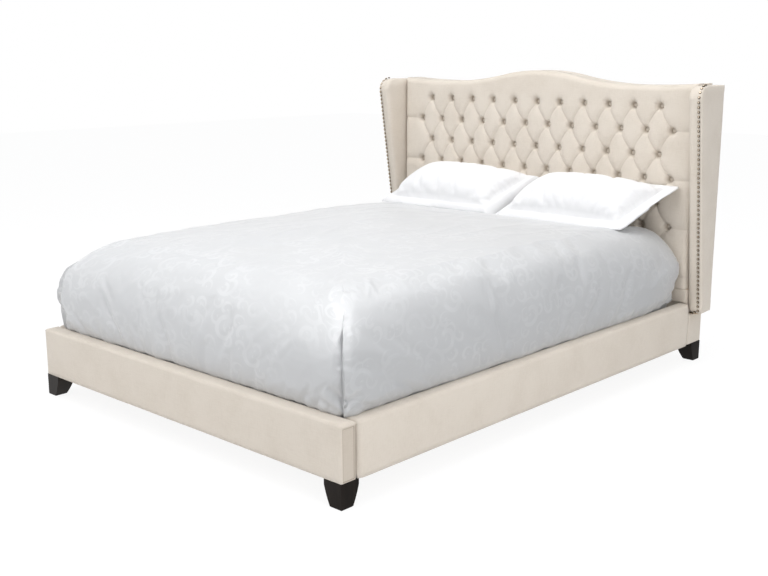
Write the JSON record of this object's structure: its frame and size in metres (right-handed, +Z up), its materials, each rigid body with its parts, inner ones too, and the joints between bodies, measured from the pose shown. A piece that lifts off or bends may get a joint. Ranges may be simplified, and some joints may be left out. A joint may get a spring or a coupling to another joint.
{
  "type": "upholstered bed",
  "caption": "Upholstered bed with a deep-tufted camelback headboard, flared nail-trimmed wings, padded rails, slatted base, mattress, coverlet and pillows.",
  "frame": {"origin": "on the floor under the middle of the bed", "axes": "+Z up, +Y towards the headboard, +X to the right as seen from the foot end"},
  "size_m": [1.7884, 2.24, 1.252],
  "materials": {
    "upholstery": "cream linen-look weave, matte",
    "coverlet_satin": "silver-grey satin with a tone-on-tone scroll weave",
    "pillow_cotton": "white cotton, smooth",
    "mattress_ticking": "off-white quilted ticking",
    "webbing": "woven webbing, matte",
    "leg_wood": "espresso stain, satin",
    "frame_wood": "sawn softwood, unfinished",
    "slat_wood": "planed pine, unfinished",
    "ply": "plywood, unfinished",
    "zinc_steel": "zinc plated, satin",
    "nail_metal": "antiqued nickel-bronze, polished crown",
    "foot_plastic": "moulded, matte"
  },
  "bodies": {
    "frame": {"footboard_core": "frame_wood", "footboard_cover": "upholstery", "rail_core_right": "frame_wood", "rail_core_left": "frame_wood", "rail_cover_right": "upholstery", "rail_cover_left": "upholstery", "ledger_right": "slat_wood", "ledger_left": "slat_wood", "rail_brackets": "zinc_steel", "bracket_bolts": "zinc_steel", "slat_straps": "webbing", "centre_beam": "slat_wood", "beam_hangers": "zinc_steel", "leg_foot_right": "leg_wood", "leg_foot_left": "leg_wood", "leg_head_right": "leg_wood", "leg_head_left": "leg_wood", "leg_bolts": "zinc_steel", "post_right": "frame_wood", "post_left": "frame_wood", "post_cover_right": "upholstery", "post_cover_left": "upholstery", "lower_panel": "ply", "lower_cover": "upholstery", "headboard_panel": "ply", "back_cover": "upholstery", "crest_boxing": "upholstery", "tufted_pad": "upholstery", "tuft_buttons": "upholstery", "wing_core_right": "frame_wood", "wing_core_left": "frame_wood", "wing_cover_right": "upholstery", "wing_cover_left": "upholstery", "nail_trim": "nail_metal", "batten_bottom": "frame_wood", "batten_middle": "frame_wood", "batten_top": "frame_wood", "slat_01": "slat_wood", "slat_02": "slat_wood", "slat_03": "slat_wood", "slat_04": "slat_wood", "slat_05": "slat_wood", "slat_06": "slat_wood", "slat_07": "slat_wood", "slat_08": "slat_wood", "slat_09": "slat_wood", "slat_10": "slat_wood", "slat_11": "slat_wood", "slat_12": "slat_wood", "centre_leg_1": "slat_wood", "centre_leg_2": "slat_wood", "centre_leg_3": "slat_wood"},
    "mattress": {"mattress": "mattress_ticking"},
    "coverlet": {"coverlet": "coverlet_satin"},
    "pillow_left": {"pillow_left": "pillow_cotton"},
    "pillow_right": {"pillow_right": "pillow_cotton"},
    "levelling_foot_1": {"levelling_foot_1": "foot_plastic"},
    "levelling_foot_2": {"levelling_foot_2": "foot_plastic"},
    "levelling_foot_3": {"levelling_foot_3": "foot_plastic"}
  },
  "joints": [
    {"name": "mattress_lift", "type": "slide", "parent": "frame", "child": "mattress", "axis": [0, 0, 1], "range_m": [0, 0.4]},
    {"name": "coverlet_lift", "type": "slide", "parent": "mattress", "child": "coverlet", "axis": [0, 0, 1], "range_m": [0, 0.3]},
    {"name": "pillow_left_lift", "type": "slide", "parent": "coverlet", "child": "pillow_left", "axis": [0, 0, 1], "range_m": [0, 0.3]},
    {"name": "pillow_right_lift", "type": "slide", "parent": "coverlet", "child": "pillow_right", "axis": [0, 0, 1], "range_m": [0, 0.3]},
    {"name": "levelling_foot_1_screw", "type": "slide", "parent": "frame", "child": "levelling_foot_1", "axis": [0, 0, -1], "range_m": [0, 0.02]},
    {"name": "levelling_foot_2_screw", "type": "slide", "parent": "frame", "child": "levelling_foot_2", "axis": [0, 0, -1], "range_m": [0, 0.02]},
    {"name": "levelling_foot_3_screw", "type": "slide", "parent": "frame", "child": "levelling_foot_3", "axis": [0, 0, -1], "range_m": [0, 0.02]}
  ]
}
